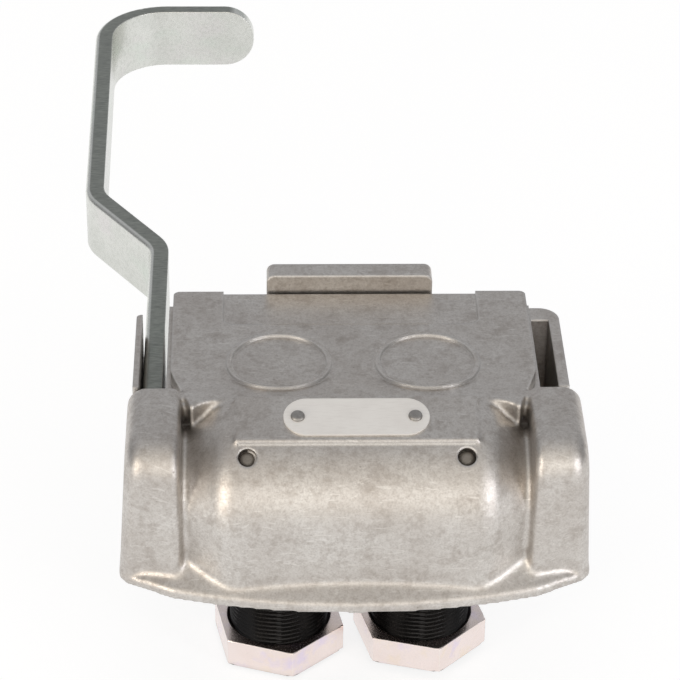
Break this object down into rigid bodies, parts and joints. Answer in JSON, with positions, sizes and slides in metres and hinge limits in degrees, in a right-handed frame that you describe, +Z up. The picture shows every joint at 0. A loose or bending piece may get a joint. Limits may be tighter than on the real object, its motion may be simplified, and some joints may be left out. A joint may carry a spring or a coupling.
{
  "type": "pneumatic quick coupling",
  "caption": "Two-line pneumatic quick coupling: die-cast base with spring valves under a sprung hinged cover, threaded stubs with lock nuts below, long hooked side lever.",
  "frame": {"origin": "midway between the two port axes on the underside of the base's foot, the face that sits on the bracket", "axes": "+Z up along the port axes, +Y from the hinge towards the free end of the lever, +X to the right seen from the hinge side"},
  "size_m": [0.1532, 0.3134, 0.1064],
  "materials": {
    "cast_aluminium": "die cast, lightly tumbled, satin with small casting marks",
    "zinc_plated_steel": "bright zinc plate with a pale iridescence",
    "black_plated_steel": "glossy black plating over a fine thread",
    "plate_metal": "pale satin sheet",
    "rivet_metal": "drawn, dull",
    "spring_steel": "drawn wire, oiled",
    "pin_steel": "ground",
    "clip_steel": "black oxide",
    "bronze": "sintered bronze, oiled",
    "valve_brass": "turned",
    "seal_rubber": "moulded nitrile, matt"
  },
  "bodies": {
    "base": {"base_housing": "cast_aluminium", "hinge_bush_left": "bronze", "hinge_bush_right": "bronze", "torsion_spring": "spring_steel", "valve_stub_left": "black_plated_steel", "stub_seal_left": "seal_rubber", "lock_nut_left": "zinc_plated_steel", "spring_seat_left": "valve_brass", "valve_spring_left": "spring_steel", "face_seal_left": "seal_rubber", "valve_stub_right": "black_plated_steel", "stub_seal_right": "seal_rubber", "lock_nut_right": "zinc_plated_steel", "spring_seat_right": "valve_brass", "valve_spring_right": "spring_steel", "face_seal_right": "seal_rubber"},
    "cover": {"cover": "cast_aluminium", "handle": "zinc_plated_steel", "hinge_pin": "pin_steel", "cross_pins": "spring_steel", "pin_clip": "clip_steel", "handle_washer": "zinc_plated_steel", "pin_spacer": "zinc_plated_steel", "rating_plate": "plate_metal", "plate_rivets": "rivet_metal"},
    "plunger_left": {"valve_plunger_left": "valve_brass", "valve_seal_left": "seal_rubber"},
    "plunger_right": {"valve_plunger_right": "valve_brass", "valve_seal_right": "seal_rubber"}
  },
  "joints": [
    {"name": "cover_hinge", "type": "hinge", "parent": "base", "child": "cover", "pos_m": [0, -0.026, 0.0475], "axis": [1, 0, 0], "range_deg": [0, 55], "stiffness_Nm_per_rad": 2.25, "springref_deg": -28.65, "deforming": ["torsion_spring"]},
    {"name": "valve_left", "type": "slide", "parent": "base", "child": "plunger_left", "axis": [0, 0, -1], "range_m": [0, 0.006], "stiffness_N_per_m": 3600, "springref_m": -0.004, "deforming": ["valve_spring_left"]},
    {"name": "valve_right", "type": "slide", "parent": "base", "child": "plunger_right", "axis": [0, 0, -1], "range_m": [0, 0.006], "stiffness_N_per_m": 3600, "springref_m": -0.004, "deforming": ["valve_spring_right"]}
  ]
}
